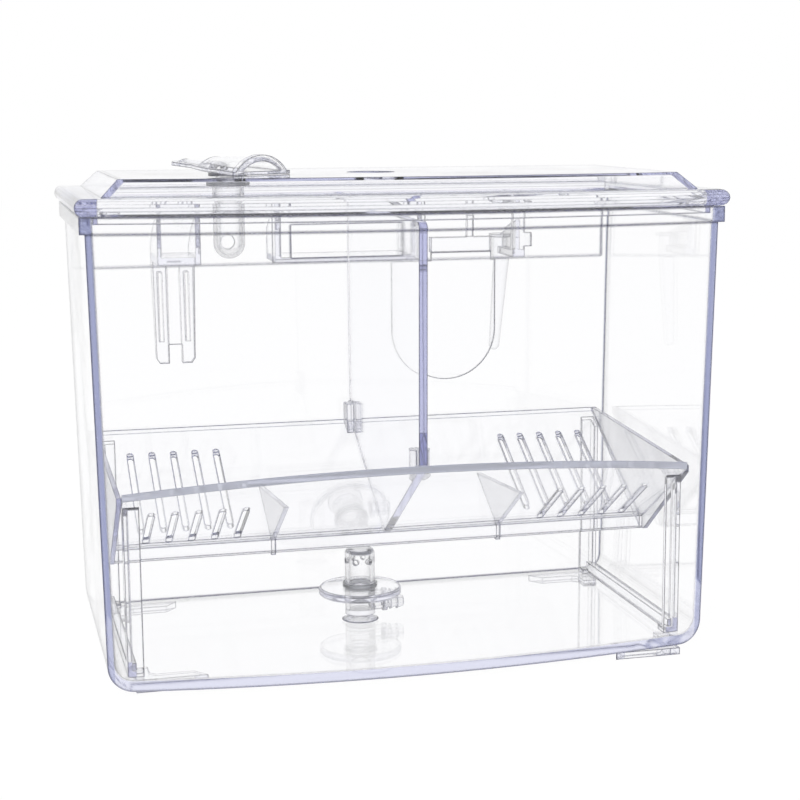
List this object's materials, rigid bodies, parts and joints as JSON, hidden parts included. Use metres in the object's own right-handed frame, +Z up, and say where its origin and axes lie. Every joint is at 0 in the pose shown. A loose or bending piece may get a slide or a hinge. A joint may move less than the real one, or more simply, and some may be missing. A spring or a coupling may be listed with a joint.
{
  "type": "fish breeding box",
  "caption": "Clear hang-on fish breeding box with a bow front, lift-off lid, slotted V-shaped spawning tray, centre divider, rear hooks, outlet spout and a floor bubbler.",
  "frame": {"origin": "middle of the whole object's footprint, on the surface that the feet stand on", "axes": "+Z up, +X to the right as seen from the bowed front, +Y towards the rear wall with the hooks"},
  "size_m": [0.2106, 0.1399, 0.1685],
  "materials": {
    "clear_plastic": "clear moulded, high gloss",
    "tinted_plastic": "clear moulded with a blue-violet tint at the edges",
    "frosted_plastic": "clear moulded, slightly cloudy",
    "dark_rubber": "soft grey seal"
  },
  "bodies": {
    "tank": {"tank": "clear_plastic", "foot_front_left": "tinted_plastic", "foot_front_right": "tinted_plastic", "foot_rear_left": "tinted_plastic", "foot_rear_right": "tinted_plastic", "spacer_bar": "clear_plastic", "spacer_plate": "clear_plastic", "outlet_spout": "clear_plastic", "bubbler_foot": "frosted_plastic", "bubbler_body": "clear_plastic", "bubbler_seal": "dark_rubber", "bubbler_disc": "clear_plastic", "bubbler_barb": "frosted_plastic"},
    "lid": {"lid": "clear_plastic", "feed_ring": "dark_rubber", "feed_tube": "frosted_plastic"},
    "hood": {"feed_hood": "clear_plastic"},
    "tray": {"tray_rear_slope": "clear_plastic", "tray_front_slope": "clear_plastic", "tray_keel": "tinted_plastic", "tray_rib_left": "frosted_plastic", "tray_rib_right": "frosted_plastic", "tray_end_left": "frosted_plastic", "tray_end_right": "frosted_plastic", "leg_frame_left": "clear_plastic", "leg_frame_right": "clear_plastic", "divider_rear_clip": "frosted_plastic", "divider_front_clip": "frosted_plastic"},
    "divider": {"divider": "tinted_plastic"},
    "left_hook": {"hook_left": "clear_plastic"},
    "right_hook": {"hook_right": "clear_plastic"},
    "cap": {"bubbler_cap": "frosted_plastic"}
  },
  "joints": [
    {"name": "lid_lift", "type": "slide", "parent": "tank", "child": "lid", "axis": [0, 0, 1], "range_m": [0, 0.25]},
    {"name": "hood_turn", "type": "hinge", "parent": "lid", "child": "hood", "pos_m": [-0.0528, -0.015, 0.1619], "axis": [0, 0, 1], "range_deg": [-60, 120]},
    {"name": "tray_lift", "type": "slide", "parent": "tank", "child": "tray", "axis": [0, 0, 1], "range_m": [0, 0.15]},
    {"name": "divider_lift", "type": "slide", "parent": "tank", "child": "divider", "axis": [0, 0, 1], "range_m": [0, 0.2]},
    {"name": "left_hook_pull", "type": "slide", "parent": "tank", "child": "left_hook", "axis": [0, 1, 0], "range_m": [0, 0.02]},
    {"name": "right_hook_pull", "type": "slide", "parent": "tank", "child": "right_hook", "axis": [0, 1, 0], "range_m": [0, 0.02]},
    {"name": "cap_turn", "type": "hinge", "parent": "tank", "child": "cap", "pos_m": [-0.008, -0.0053, 0.03], "axis": [0, 0, 1], "range_deg": [0, 90]}
  ],
  "couplings": [
    {"joint": "tray_lift", "follows": "lid_lift", "ratio": 0.6},
    {"joint": "divider_lift", "follows": "lid_lift", "ratio": 0.8}
  ]
}
